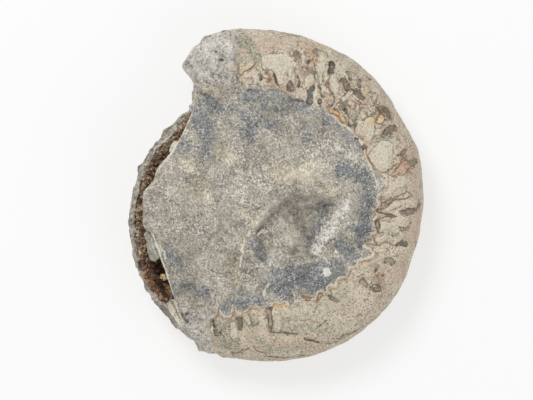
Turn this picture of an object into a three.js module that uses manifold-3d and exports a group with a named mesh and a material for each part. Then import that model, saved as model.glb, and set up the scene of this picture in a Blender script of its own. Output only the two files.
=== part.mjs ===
// An ammonite fossil lying on its side: one stone, the limestone cast of a coiled shell.
// Millimetres, +Z up. The origin is the middle of the underside, and the coil opens towards +Y.
// Seen from above, the venter (the outer edge of the coil) follows a logarithmic spiral. The coil ends
// at a broken snout at the upper left, and below it the shell wall has broken out along a channel.
import * as THREE from "three";
import { mergeVertices } from "three/addons/utils/BufferGeometryUtils.js";
import Module from "manifold-3d";

const { degToRad, lerp, smoothstep } = THREE.MathUtils;
const wasm = await Module();
wasm.setup();

// Driving dimensions.
const SPIRAL_START_RADIUS = 60; // from the coil's centre to the venter, where the oldest visible part starts
const SPIRAL_GROWTH = 0.0684; // the radius grows by this share for each radian of coil
const COIL_CENTRE = new THREE.Vector2(-7, -6.2);
const COIL_START_DEG = 131;
const COIL_END_DEG = 465;
const EQUATOR_HEIGHT = 18; // the venter's widest level above the underside
const RIM_HALF_HEIGHT = 12.5;
const RIM_INSET_WHORL = 11; // how far in the rounding of the venter reaches
const RIM_INSET_BROKEN = 5;
const CROWN_TOP = 9; // how much the upper flank domes above its rim
const CROWN_UNDER = 7;
const CROWN_RADIUS = 82; // the doming has died out this far from the middle of the stone
const LEDGE_HEIGHT = 24; // top of the shell wall left outside the channel
const CHANNEL_HEIGHT = 17.5; // floor of the channel
const MESH_CENTRE = new THREE.Vector2(24, 4); // every point of the outline can be seen from here
const INNER_RING_RADIUS = 70; // the rings near the middle follow circles, and settle to the outline's shape

// How the mesh is divided.
const COLUMNS = 112;
const FLANK_RINGS = 12;
const RIM_RINGS = 7;
const CUTTER_TOP = 60;

// Where wear and swelling take the venter off the spiral: middle and spread in degrees, height in mm.
const VENTER_SWELLINGS = [
  { at: 143, spread: 9, height: -0.9 },
  { at: 208, spread: 34, height: 0.9 },
  { at: 266, spread: 52, height: 4.6 },
  { at: 315, spread: 26, height: 2.1 },
  { at: 249, spread: 9, height: 2.2 },
  { at: 380, spread: 12, height: 1.2 },
  { at: 392, spread: 7, height: -1.2 },
  { at: 415, spread: 14, height: 0.9 },
];

// The broken end of the coil: over the snout, down into the notch and out to the channel's wall.
const BROKEN_END = [
  [-33.8, 75.9],
  [-39.2, 72.0],
  [-43.0, 66.1],
  [-45.7, 61.7],
  [-44.3, 58.9],
  [-40.2, 55.2],
  [-39.8, 50.2],
  [-40.8, 43.0],
  [-42.6, 39.6],
];

// The edge where the upper flank has broken off above the channel, from the notch down.
const FLANK_EDGE = [
  [-39.4, 41.4],
  [-43.0, 32.6],
  [-45.8, 26.9],
  [-50.4, 19.0],
  [-56.2, 13.2],
  [-58.3, 6.7],
  [-62.6, 1.4],
  [-63.8, -7.2],
  [-62.6, -16.4],
  [-59.8, -18.4],
  [-56.9, -26.4],
  [-53.0, -36.0],
  [-49.2, -48.0],
  [-46.1, -56.2],
  [-44.4, -63.0],
];

// The inner face of the shell wall that stands outside the channel, from the bottom up.
const WALL_INNER_FACE = [
  [-48.6, -59.0],
  [-54.0, -52.8],
  [-58.4, -46.8],
  [-61.6, -41.0],
  [-64.2, -34.0],
  [-66.2, -25.0],
  [-67.0, -14.4],
  [-66.6, -4.0],
  [-64.4, 6.6],
  [-61.2, 14.0],
  [-56.6, 21.4],
  [-50.6, 27.6],
  [-45.4, 33.4],
];

// Slow swellings of a worn flank: length and heading of each wave, and its height.
const FLANK_WAVES = [
  { length: 58, heading: 25, height: 0.55, shift: 1.0 },
  { length: 34, heading: 105, height: 0.35, shift: 2.2 },
  { length: 22, heading: 160, height: 0.2, shift: 0.4 },
];

// The shallow hollow over the middle of the coil, and the dip where the snout thins.
const FLANK_HOLLOWS = [
  { x: 12, y: -15, radius: 15, depth: 3.2 },
  { x: -46, y: 62, radius: 17, depth: 5 },
];

function venterPoint(deg) {
  const angle = degToRad(deg);
  let radius = SPIRAL_START_RADIUS * Math.exp(SPIRAL_GROWTH * degToRad(deg - 150));
  for (const { at, spread, height } of VENTER_SWELLINGS) {
    radius += height * Math.exp(-(((deg - at) / spread) ** 2));
  }
  return new THREE.Vector3(
    COIL_CENTRE.x + radius * Math.cos(angle),
    COIL_CENTRE.y + radius * Math.sin(angle),
    0,
  );
}

function curveThrough(points, closed = false) {
  const places = points.map(([x, y]) => new THREE.Vector3(x, y, 0));
  return new THREE.CatmullRomCurve3(places, closed, "centripetal");
}

// The stone's outline seen from above, as evenly spaced points round it.
function outlinePoints() {
  const places = [];
  for (let deg = COIL_START_DEG; deg <= COIL_END_DEG; deg += 8) {
    const p = venterPoint(deg);
    places.push([p.x, p.y]);
  }
  return curveThrough([...places, ...BROKEN_END], true).getSpacedPoints(COLUMNS).slice(0, COLUMNS);
}

const outline = outlinePoints();
const START_ANGLE = Math.atan2(outline[0].y, outline[0].x);

// How far a point of the plan lies inside the outline.
function insetOf(x, y) {
  const point = new THREE.Vector3(x, y, 0);
  const nearest = new THREE.Vector3();
  const side = new THREE.Line3();
  let least = Infinity;
  outline.forEach((start, i) => {
    side.set(start, outline[(i + 1) % COLUMNS]).closestPointToPoint(point, true, nearest);
    least = Math.min(least, nearest.distanceTo(point));
  });
  return least;
}

// How far in the edge is rounded: wide on the coil's venter, narrow where the stone is broken.
function rimInset(x) {
  return lerp(RIM_INSET_BROKEN, RIM_INSET_WHORL, smoothstep(x, -52, -20));
}

function flankRelief(x, y) {
  let relief = 0;
  for (const { length, heading, height, shift } of FLANK_WAVES) {
    const along = x * Math.cos(degToRad(heading)) + y * Math.sin(degToRad(heading));
    relief += height * Math.sin((2 * Math.PI * along) / length + shift);
  }
  for (const { x: cx, y: cy, radius, depth } of FLANK_HOLLOWS) {
    relief -= depth * Math.exp(-((x - cx) ** 2 + (y - cy) ** 2) / radius ** 2);
  }
  return relief;
}

// Height of the surface at a place in the plan. side is 1 above and -1 below.
function heightAt(x, y, side) {
  const reach = Math.min(1, insetOf(x, y) / rimInset(x));
  const rim = Math.sqrt(1 - (1 - reach) ** 2);
  const crown = (side > 0 ? CROWN_TOP : CROWN_UNDER) * (1 - Math.hypot(x, y) ** 2 / CROWN_RADIUS ** 2);
  const relief = side > 0 ? flankRelief(x, y) : 0.7 * flankRelief(-x, y);
  return EQUATOR_HEIGHT + side * rim * (RIM_HALF_HEIGHT + crown) + relief * reach;
}

// A ball's rings and columns, pushed out to the outline and up to the flanks' heights.
function bodyGeometry() {
  const rings = 2 * (FLANK_RINGS + RIM_RINGS);
  const ball = new THREE.SphereGeometry(1, COLUMNS, rings).rotateX(Math.PI / 2);
  const position = ball.getAttribute("position");
  for (let i = 0; i < position.count; i += 1) {
    const column = i % (COLUMNS + 1) % COLUMNS;
    const ring = Math.floor(i / (COLUMNS + 1));
    const side = ring <= rings / 2 ? 1 : -1;
    const fromPole = side > 0 ? ring : rings - ring;
    const edge = outline[column];
    const across = Math.hypot(edge.x - MESH_CENTRE.x, edge.y - MESH_CENTRE.y);
    const inset = rimInset(edge.x);
    const flankShare = 1 - inset / across;
    let share = (flankShare * fromPole) / FLANK_RINGS;
    if (fromPole > FLANK_RINGS) {
      const turn = (Math.PI / 2) * (1 - (fromPole - FLANK_RINGS) / RIM_RINGS);
      share = 1 - (inset * (1 - Math.cos(turn))) / across;
    }
    const turned = (2 * Math.PI * column) / COLUMNS + START_ANGLE;
    const settled = smoothstep(share, 0.1, 0.75);
    const x = lerp(MESH_CENTRE.x, lerp(INNER_RING_RADIUS * Math.cos(turned), edge.x, settled), share);
    const y = lerp(MESH_CENTRE.y, lerp(INNER_RING_RADIUS * Math.sin(turned), edge.y, settled), share);
    position.setXYZ(i, x, y, heightAt(x, y, fromPole === FLANK_RINGS + RIM_RINGS ? 0 : side));
  }
  return ball;
}

function solidOf(geometry) {
  geometry.deleteAttribute("normal");
  geometry.deleteAttribute("uv");
  const merged = mergeVertices(geometry, 1e-4);
  return new wasm.Manifold(
    new wasm.Mesh({
      numProp: 3,
      vertProperties: merged.getAttribute("position").array,
      triVerts: new Uint32Array(merged.index.array),
    }),
  );
}

// Everything above the floor height inside a closed plan.
function columnAbove(points, floor) {
  const shape = new THREE.Shape(points.map((p) => new THREE.Vector2(p.x, p.y)));
  const depth = CUTTER_TOP - floor;
  return solidOf(new THREE.ExtrudeGeometry(shape, { depth, bevelEnabled: false }).translate(0, 0, floor));
}

function geometryOf(solid) {
  const { numProp, vertProperties, triVerts } = solid.getMesh();
  const count = vertProperties.length / numProp;
  const positions = new Float32Array(count * 3);
  for (let i = 0; i < count; i += 1) {
    positions.set(vertProperties.subarray(i * numProp, i * numProp + 3), i * 3);
  }
  const geometry = new THREE.BufferGeometry();
  geometry.setAttribute("position", new THREE.BufferAttribute(positions, 3));
  geometry.setIndex(new THREE.BufferAttribute(triVerts, 1));
  return geometry;
}

function fossilGeometry() {
  const flankEdge = curveThrough(FLANK_EDGE).getPoints(56);
  const wallFace = curveThrough(WALL_INNER_FACE).getPoints(44);
  const outside = [
    new THREE.Vector2(-85, -66),
    new THREE.Vector2(-85, 50),
    new THREE.Vector2(-42.2, 50),
    new THREE.Vector2(-41.2, 42.6),
  ];
  const worn = new THREE.BoxGeometry(300, 300, 20).translate(0, 0, -10);
  const stone = solidOf(bodyGeometry())
    .subtract(columnAbove([...flankEdge, ...outside], LEDGE_HEIGHT))
    .subtract(columnAbove([...flankEdge, ...wallFace], CHANNEL_HEIGHT))
    .subtract(solidOf(worn));
  const geometry = geometryOf(stone);
  geometry.computeBoundingBox();
  const middle = geometry.boundingBox.getCenter(new THREE.Vector3());
  geometry.translate(-middle.x, -middle.y, 0);
  geometry.computeVertexNormals();
  return geometry;
}

const limestone = new THREE.MeshStandardMaterial({ color: 0xb0a493, roughness: 0.92, metalness: 0 });
const ammonite = new THREE.Mesh(fossilGeometry(), limestone);
ammonite.name = "ammonite";

const part = new THREE.Group();
part.add(ammonite);

export default part;
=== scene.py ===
import bpy
import numpy as np
from mathutils import Euler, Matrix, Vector, noise


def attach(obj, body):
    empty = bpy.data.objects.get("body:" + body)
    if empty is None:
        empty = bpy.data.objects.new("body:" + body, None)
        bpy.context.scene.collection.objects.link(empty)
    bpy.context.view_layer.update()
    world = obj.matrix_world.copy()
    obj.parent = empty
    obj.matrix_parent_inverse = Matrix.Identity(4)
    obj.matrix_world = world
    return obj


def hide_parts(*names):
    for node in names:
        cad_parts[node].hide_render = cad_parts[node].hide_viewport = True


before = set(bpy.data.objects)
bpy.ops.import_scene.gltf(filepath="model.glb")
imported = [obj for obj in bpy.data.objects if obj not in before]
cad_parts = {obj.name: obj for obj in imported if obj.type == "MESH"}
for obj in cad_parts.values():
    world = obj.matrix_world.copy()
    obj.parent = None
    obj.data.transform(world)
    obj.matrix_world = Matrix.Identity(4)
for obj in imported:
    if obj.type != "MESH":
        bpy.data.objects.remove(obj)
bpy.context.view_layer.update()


# --- The stone ---------------------------------------------------------------------------------
# One block of limestone, the filling of a coiled shell that the sea floor turned to rock. Grey rock
# still covers the middle of the coil, and the bare outer whorl shows its folded suture lines. It is
# one grown piece. Everything else here is cemented to it.

# Lengths in this section are millimetres, x and y in the plan and z up.
ROCK_EDGE = [
    (-50, 67), (-36, 66), (-26, 62), (-20.6, 57), (-17.5, 54), (-10, 52.8), (-3, 51.6), (2, 49.8),
    (6.5, 47.8), (13.7, 45), (19, 43.4), (23, 41.6), (26, 38.2), (30.5, 34.5), (34.3, 31.6), (37.2, 28.4),
    (40.1, 25), (42, 20.6), (43.4, 16.3), (45.4, 13), (48.2, 10.6), (51.5, 9), (52.1, 3.8), (49.7, 0.6),
    (47.6, -1.7), (48.8, -4.8), (46.8, -7.6), (47.6, -10.6), (45.6, -13), (47.6, -16.3), (44.4, -19.7),
    (45.8, -22.6), (41.4, -24.8), (43.8, -25.6), (45.4, -28.3), (43.4, -30.1), (38.6, -30.6),
    (38.2, -33.6), (34.6, -34.6), (33, -38.9), (29.2, -40), (28.2, -42.8), (25, -43), (24.4, -46.8),
    (20.8, -45.8), (18.4, -49.2), (14.2, -48.6), (11.4, -50.4), (8.6, -50.8), (6.8, -53.4), (4.3, -50.6),
    (1.8, -51.8), (-2, -51.4), (-3.4, -53.4), (-7.6, -53.4), (-12.6, -52.8), (-14.6, -55.4),
    (-18.6, -56.4), (-20.2, -53), (-22.5, -57.5), (-26, -56.4), (-26.8, -52.6), (-29.8, -58.2),
    (-36, -60), (-45, -66), (-90, -66), (-90, 67),
]

# Folds of the suture line, seen as sunk pockets filled with other minerals. Each is a rounded bar:
# both ends, both end radii, depth, and its place on the filling colours, from black to yellow.
SUTURE_POCKETS = [
    (26.3, 63, 25.6, 58.4, 1.2, 1.5, 1.2, 0.26), (16.6, 51.2, 15.6, 43.8, 1, 1.6, 0.7, 0.12),
    (5.6, 53.6, 6.8, 51.2, 0.7, 1.9, 0.9, 0.3), (20.2, 46, 19.6, 43.6, 0.5, 1, 0.9, 0.26),
    (21, 49.5, 22.4, 46.6, 0.4, 0.6, 0.7, 0.26), (10.2, 56.6, 10.6, 51.6, 0.4, 0.6, 0.5, 0.14),
    (31.5, 54, 34, 51.5, 1.5, 1.7, 0.8, 0.36), (33.8, 58.6, 35, 55.8, 0.8, 1.1, 0.7, 0.42),
    (39.4, 54.8, 39.6, 52, 0.9, 1.1, 0.7, 0.38), (37.4, 48.8, 41.2, 46.4, 1.5, 1.2, 0.8, 0.34),
    (26.3, 40, 28.6, 38.8, 1.6, 1.4, 0.5, 0.62), (30.4, 37.6, 31.8, 36, 0.9, 0.9, 0.3, 0.78),
    (32.1, 40.9, 32.6, 40.2, 0.5, 0.4, 0.7, 0.06), (51.6, 41, 53.2, 37.8, 1.5, 1, 0.9, 0.36),
    (49.6, 37, 49, 35.2, 1.8, 1.8, 0.4, 0.8), (55.6, 31.6, 52, 29.6, 1.7, 1.2, 0.9, 0.36),
    (51.5, 28.6, 49.8, 28.2, 0.8, 0.6, 0.5, 0.42), (54.6, 9.2, 61.6, 14.6, 0.7, 2.2, 0.4, 0.585),
    (62.8, 15, 65.8, 15.6, 1.7, 1.2, 0.7, 0.4), (51, -4.3, 56, -2.8, 0.9, 0.8, 0.3, 0.5),
    (60.3, -8.7, 65, -7.3, 1.5, 1.3, 0.9, 0.43), (59.3, -15.9, 63, -15.4, 1.2, 0.9, 0.7, 0.47),
    (57.6, -23.4, 61.8, -23, 1, 1.1, 0.9, 0.3), (52, -30.9, 54.9, -31.7, 1.2, 1.2, 0.5, 0.45),
    (50.2, -37.4, 50.9, -37.8, 0.4, 0.4, 0.6, 0.24), (46.6, -36.2, 47.4, -36.4, 0.5, 0.4, 0.4, 0.4),
    (40.4, -41.2, 43, -42.6, 1.4, 1.2, 0.2, 0.47), (47, -44.8, 48.2, -45.4, 0.7, 0.7, 0.3, 0.6),
    (47.6, -12.4, 48, -14.6, 1, 1.2, 0.5, 0.4), (52, -10, 56.2, -10.4, 1, 0.8, 0.5, 0.34),
    (-17.4, -58.6, -17.1, -63, 1.2, 0.7, 0.7, 0.32), (41.2, 22.9, 42.4, 22.3, 0.8, 0.7, 0.6, 0.36),
    (37.4, 27.1, 38.6, 27, 0.5, 0.4, 0.7, 0.08), (60, 20.2, 61.4, 21, 0.8, 0.9, 0.4, 0.45),
    (58, 18.8, 58.6, 19.2, 0.5, 0.4, 0.4, 0.36), (18.4, 68.4, 19.2, 66.8, 1.3, 1.1, 0.4, 0.38),
    (14.9, 63.8, 14.7, 62.8, 0.4, 0.4, 0.7, 0.16), (13.4, 60.2, 13.8, 59.6, 0.4, 0.4, 0.6, 0.24),
    (-4.8, 58.2, -3.2, 54.8, 0.6, 0.7, 0.4, 0.6), (-1.6, 57, 0.2, 53, 0.4, 0.5, 0.4, 0.24),
    (-29.6, 68.2, -29.3, 67.8, 0.3, 0.3, 0.9, 0.1), (-26.2, 68.4, -25.8, 68, 0, 0.1, 0.8, 0.2),
    (-27.2, 65, -25.6, 63.9, 0.2, 0.2, 0.9, 0.22), (-8.2, 57, -7.4, 54.6, 0.6, 0.6, 0.6, 0.28),
    (-10, 59.6, -8.6, 58.4, 0.4, 0.4, 0.5, 0.3), (24.4, -48.4, 28.8, -50.8, 0.4, 1.1, 0.4, 0.42),
    (-43.2, -57.6, -42, -60, 0.3, 0.2, 0.7, 0.26), (-39.8, -58, -37.6, -57.6, 0.1, 0.1, 0.5, 0.34),
    (-4, -54.6, -3.4, -61, 1.3, 1.1, 0.4, 0.44), (-3.4, -61, -2.4, -65.6, 1.1, 0.6, 0.4, 0.4),
    (12.6, -47.6, 15, -48.8, 0.5, 1, 0.3, 0.62), (19.2, -49.4, 21.2, -47.6, 0.7, 1, 0.3, 0.6),
]

# Saddles of the suture line, where the pale chamber filling stands smooth and slightly domed.
PALE_SADDLES = [
    (-4.2, 63.6, 3.6, 62.6, 3.2, 4.6), (0, 60, 2.1, 54, 4.2, 1.5), (5.6, 62, 8, 55.4, 3.2, 0.7),
    (21.6, 63.5, 20.6, 53.6, 1.9, 0.9), (15.6, 56, 13, 51.4, 1.7, 1.2),
    (27.1, 55.2, 27.5, 49.6, 1.7, 1.7), (34.6, 48.8, 31.9, 45.9, 1.5, 1), (13.2, 65.8, 13, 62.4, 1, 0.9),
    (44.6, 35.4, 43.2, 30.2, 2.2, 3.3), (43, 30.2, 43, 26.4, 3.2, 0.9),
    (51.4, 22.6, 49.8, 18.4, 3.6, 5.4), (49.8, 18.4, 50.4, 12.8, 5.4, 1.9),
    (47.2, 47, 46.8, 45.6, 0.8, 0.8), (59.4, 6.6, 51, 0.2, 2.6, 1), (52, -6.3, 58.6, -4.6, 1.2, 1.5),
    (62.2, 0.4, 61, -0.1, 0.9, 0.7), (50.6, -14.2, 56, -15.6, 1.9, 2.2),
    (47.6, -20.8, 51.4, -20.8, 1.1, 1.4), (46.5, -26.2, 51.4, -26.4, 0.9, 1.4),
    (-13.6, -58.6, -13.5, -60.6, 1.4, 1.2), (0.2, -58.6, 0.8, -62.4, 1.6, 2.2),
    (4.6, -56, 16, -54.4, 2.4, 1.9), (-8.4, -58.6, -6.6, -63, 1.4, 1.3),
    (-20.6, -61.6, -20.4, -66.6, 1.6, 2.4), (-22.2, 61.8, -21.2, 60, 1.8, 1.8),
]

# Suture lines, cracks and veins: half width, place on the line colours from black to orange, points.
DARK_LINES = [
    (0.35, 0.4, [(43.5, 18.5), (44.6, 15.5), (46, 12.8), (48, 10.8), (50.5, 10.2), (54.5, 13.2),
                 (56.5, 14.6)]),
    (0.3, 0.4, [(53, 9.3), (57, 8.8), (60.5, 10.2), (63, 12.2), (66, 13.6)]),
    (0.3, 0.4, [(47, -1), (48.6, -2.2), (51, -2.4), (54.5, -1.8), (58.5, -0.3), (61.3, 1.9)]),
    (0.4, 0.35, [(61.3, 1.9), (63.3, 1.2), (64.3, -0.3), (63.2, -1.5), (60, -1.4), (56.5, -2.6),
                 (52.5, -5.2), (49.6, -7), (47, -7.3)]),
    (0.6, 0.2, [(47.2, -7.8), (48.6, -8.6), (51.2, -9.3), (54, -8.9), (57, -10.2)]),
    (0.35, 0.3, [(45.8, -13.2), (48, -12), (52, -10.8), (56, -10.1)]),
    (0.3, 0.3, [(46.8, -13.4), (47.6, -15.8), (48.5, -17.4), (50.6, -18.2)]),
    (0.3, 0.3, [(44.8, -20.4), (46.8, -22.2), (48, -23.4)]),
    (0.45, 0.45, [(43, -23.9), (48, -23.4), (52, -23.4), (57, -23.6)]),
    (0.3, 0.15, [(45.6, -43.6), (47.5, -43), (49.6, -44.6), (49.4, -46), (47.6, -46.6), (45.8, -45.4),
                 (45.6, -43.6)]),
    (0.3, 0.1, [(68.1, -2.4), (67.8, -6), (67.5, -8.2)]),
    (0.3, 0.2, [(59.6, -7.4), (62, -6.3), (66.2, -6.2), (66.4, -7.4)]),
    (0.3, 0.2, [(64, -14), (65.2, -13.3)]),
    (0.35, 0.52, [(-26.6, -52.8), (-27.6, -56.5), (-29.6, -60)]),
    (0.4, 0.55, [(-19.8, -53.2), (-20.6, -57), (-23.5, -61.5), (-26, -64.6), (-28.3, -66.6)]),
    (0.5, 0, [(-30.8, -60.6), (-29.6, -63.5), (-28.9, -66.8), (-27.6, -66.9), (-26.6, -65.2)]),
    (0.4, 0.6, [(-17, -57.4), (-15.6, -54.2), (-13.6, -53), (-12.8, -54.6)]),
    (0.45, 0.4, [(-12.3, -59.3), (-12, -61.6), (-10, -62.4), (-9, -60.4)]),
    (0.15, 0.25, [(-5.4, -55), (-5.2, -58.6), (-4.4, -62), (-3.4, -66)]),
    (0.45, 0.2, [(-2.6, -65.2), (2, -65.6), (5, -66), (10.5, -66)]),
    (0.45, 0.1, [(13.5, -68.4), (16.5, -69.2), (20, -69.8)]),
    (0.3, 0.15, [(18.3, -63.6), (20.4, -61.9), (22.8, -59.9)]),
    (0.2, 0.45, [(3.1, -59.4), (11.4, -59.4), (20.5, -60.4)]),
    (0.35, 0.3, [(-11, -72.6), (-7.9, -74.4), (-4.7, -75.9)]),
    (0.3, 0.35, [(-22, -76.6), (-16.2, -74.6), (-13, -73)]),
    (0.3, 0.25, [(29, -68.4), (32.9, -66.7), (40.1, -63.8), (45.8, -60)]),
    (0.35, 0.15, [(-4, -77.6), (3, -77.9), (8, -77.9), (13, -77.2)]),
    (0.3, 0.4, [(9.8, 66), (9.9, 70), (11, 73), (13, 73.4), (14.8, 71.5)]),
    (0.4, 0.85, [(14, 69), (16, 69.6), (17, 67), (16.6, 64)]),
    (0.35, 0.7, [(9.8, 66), (10.6, 62), (11.6, 58.5), (13, 54.5), (13.2, 52)]),
    (0.35, 0.75, [(17, 64), (16, 60.6), (14.6, 57.6)]),
    (0.3, 0.35, [(9.4, 60.5), (9.2, 56), (9, 52.6)]),
    (0.3, 0.25, [(18.6, 65), (18.2, 60), (18.3, 56), (19, 52), (20.6, 50)]),
    (0.25, 0.3, [(20.2, 69.5), (22.4, 68), (24.2, 65.8)]),
    (0.35, 0.1, [(24.8, 58.6), (25, 62.4), (26.2, 63.8), (27.6, 62.2), (27.4, 59.4)]),
    (0.3, 0.25, [(25.2, 57.6), (24.3, 54.5), (22.5, 51.5)]),
    (0.4, 0.3, [(24.8, 54), (25, 49.4), (27.6, 47.6), (27.4, 44), (26.4, 41.6)]),
    (0.3, 0.2, [(-17.6, 57), (-13.9, 59), (-10.5, 61.4), (-9.6, 63)]),
    (0.35, 0.9, [(-10, 66.6), (-9.7, 64.4), (-8.8, 63)]),
    (0.25, 0.25, [(-7.6, 66.4), (-6.8, 61.4), (-4.6, 59.4), (-2.4, 58.6), (-0.4, 55), (1.4, 51.2),
                  (3.2, 50.8)]),
    (0.15, 0.75, [(-21.6, 74.7), (-20.6, 71.8), (-19, 70), (-19.4, 67.2), (-18.2, 64.4), (-19.4, 59.4)]),
    (0.3, 0.2, [(0.9, 75.3), (5.3, 76.7), (11.1, 76.1)]),
    (0.35, 0.1, [(42.1, 58.3), (43.3, 57.1), (44, 55.8), (45.6, 54.9)]),
    (0.3, 0.15, [(51.7, 51.3), (53.8, 47.8)]),
    (0.4, 0.1, [(33.2, 40.4), (34.4, 36.6), (33.9, 33.4), (34.6, 32.2), (37, 33.4)]),
    (0.4, 0.2, [(37.4, 36), (37.2, 31.7), (37.5, 29)]),
    (0.35, 0.55, [(44.6, 49.2), (47.6, 48.8), (48.9, 46.8), (47.4, 44), (44.6, 41.6)]),
    (0.35, 0.45, [(36, 44.4), (39, 43.4), (42, 42.6), (44.6, 43.2)]),
    (0.4, 0.35, [(41, 35.4), (43.2, 37.2), (45.6, 38), (47, 39.6)]),
    (0.35, 0.35, [(47.4, 34.4), (47.6, 37.4), (49.4, 39), (51.2, 38)]),
    (0.35, 0.3, [(50.4, 29.4), (53.6, 28), (56, 28.2)]),
    (0.3, 0.45, [(44.5, 25.8), (46.4, 27.6), (49.4, 28.2)]),
    (0.3, 0.6, [(-40.2, -46.4), (-39.9, -50.4)]),
    (0.35, 0.6, [(-33.6, -50.4), (-34.6, -53.4), (-33.8, -56.6)]),
    (0.3, 0.7, [(-30.4, -68.6), (-29.8, -74.6)]),
    (0.1, 0.3, [(-14, 49.8), (-8, 49.6), (-2, 49), (3, 48.6)]),
    (0.3, 0.25, [(5.4, 46.6), (7.5, 45), (10, 44.8), (13, 44)]),
    (0.5, 0.3, [(-36.4, 74.2), (-33, 76.2), (-29.6, 78), (-25, 79), (-20, 79.8)]),
    (0.4, 0.15, [(-27, 78.4), (-23.4, 78.8)]),
    (0.3, 0.15, [(-18, 80), (-14.6, 79.6)]),
    (0.3, 0.3, [(1, 77.6), (6, 77.4), (12, 76.2), (20, 73.8)]),
    (0.25, 0.45, [(24, -71.5), (30, -69.5), (36, -66.2), (44, -61.6)]),
]
PALE_LINES = [
    [(-3.7, -32.2), (-3.8, -37), (-4.4, -41.5)],
    [(-12.9, -16.5), (-15.6, -23.5), (-17.8, -33.4)],
    [(18.6, 53), (18.5, 43.7), (19.4, 42.2)],
    [(-3.9, -41.5), (-5, -45.1), (-5.4, -48)],
    [(-9, -18.6), (-6.6, -16.6)],
]
# The broken edge of the flank above the channel, from the notch down.
BROKEN_EDGE = [
    (-39.4, 41.4), (-43, 32.6), (-45.8, 26.9), (-50.4, 19), (-56.2, 13.2), (-58.3, 6.7), (-62.6, 1.4),
    (-63.8, -7.2), (-62.6, -16.4), (-59.8, -18.4), (-56.9, -26.4), (-53, -36), (-49.2, -48),
    (-46.1, -56.2), (-44.4, -63),
]
# The channel behind the broken wall, down its inner side and back up its outer side.
CHANNEL = [
    (-40.2, 41), (-43.4, 33.4), (-46.2, 26.6), (-50.6, 20.2), (-54.2, 15.4), (-57.8, 10.4), (-60.2, 5),
    (-63.2, 0.4), (-63.9, -8), (-63.2, -16.4), (-62.6, -24), (-61.6, -30.6), (-56.6, -31.4), (-53.4, -37),
    (-51.8, -42), (-50.6, -47), (-53.2, -51.4), (-57.8, -47.4), (-61.4, -41.6), (-64.2, -34.8),
    (-66.2, -25.6), (-67, -15), (-66.5, -4.6), (-64.2, 6.2), (-61, 13.6), (-56.2, 21), (-50.2, 27.6),
    (-45.4, 33.2), (-42, 39),
]
# White shell left along that edge: rounded bars.
WHITE_SHELL = [
    (-39.5, 41.2, -40.8, 37.8, 0.4, 0.6), (-41.4, 36.6, -42.4, 34.4, 0.5, 0.4),
    (-43.2, 32.4, -46, 26.8, 0.3, 0.4), (-46.6, 25.8, -48.4, 22.6, 0.5, 0.6),
    (-48.9, 21.4, -53.2, 16.2, 0.5, 0.3), (-54, 15, -57.6, 10, 0.3, 0.4),
    (-59.4, 6, -61.8, 2.6, 0.4, 0.3), (-62, -16.8, -59, -19.2, 0.3, 0.5),
    (-58.8, -19.8, -56.6, -24.6, 0.7, 0.5), (-56.2, -25.6, -54.4, -31, 0.4, 0.3),
    (-54, -32, -51.6, -39.6, 0.4, 0.3), (-51.2, -41, -49.6, -47, 0.3, 0.3),
    (-55.4, -23.6, -54.4, -26.6, 0.4, 0.3), (-53.4, -26.8, -52.8, -30.4, 0.2, 0.2),
    (-52.4, -50.6, -50.4, -54.2, 0.9, 1.1), (-50.2, -54.6, -47.8, -58.6, 1.1, 0.9),
    (-47.6, -59, -45.6, -62.4, 0.8, 0.7), (-49.9, -48.4, -48.4, -51.4, 0.3, 0.5),
    (-48.2, -52, -46.8, -55.6, 0.5, 0.4), (-46.6, -56.4, -44.4, -61.4, 0.4, 0.3),
]

# Soft stains in the rock, and painted shade and highlight in the pit over the middle of the coil: both
# ends, radius and strength.
ZONES = {}
ZONES["blue"] = [
    (-34, 42, -33, 22, 8, 0.8), (-6, 42, 12, 41, 5, 0.8), (18, 38, 30, 33, 4, 0.75),
    (30, 32, 40, 22, 4, 0.8), (31, 12, 42, 10, 4.5, 1.2), (43, 4, 41, -18, 4, 1),
    (0, -40, 28, -36, 6, 1.4), (16, -44, 22, -42, 4, 1.2), (30, -24, 36, -30, 4, 1.2),
    (-4, -42, 4, -46, 4, 1.1), (-10, -22, -6, -30, 3, 1), (-52, -26, -44, -34, 5, 0.8),
    (-46, -44, -36, -46, 5, 0.95), (24, -4, 16, -9, 3, 0.7), (-14, 49, 10, 44, 3, 0.7),
    (-24, -53, -8, -50, 4, 0.9), (-44, 63, -42, 61, 2.5, 1.4), (-60, -22, -56, -34, 2, 0.5),
    (-30, 8, -26, 0, 6, 0.5), (-22, 40, -12, 30, 8, 0.75), (-47, 22, -44, 24, 4, 0.9),
    (20, 24, 26, 16, 4, 0.4), (-20, -44, -14, -48, 4, 0.8), (-40, 38, -34, 30, 5, 0.9),
    (-36, 47, -28, 42, 4, 1), (-14, 46, 6, 46, 4, 0.9), (12, 42, 14, 28, 5, 0.7),
    (30, 32, 32, 28, 3, 0.8), (-16, 38, 0, 34, 6, 0.75), (-58, -4, -52, 6, 3, 0.5),
    (25, -4, 14, -24, 2.2, 0.9), (36, -14, 40, -24, 3, 0.8), (-10, -19, -8, -18, 1.6, 0.9),
]
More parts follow.
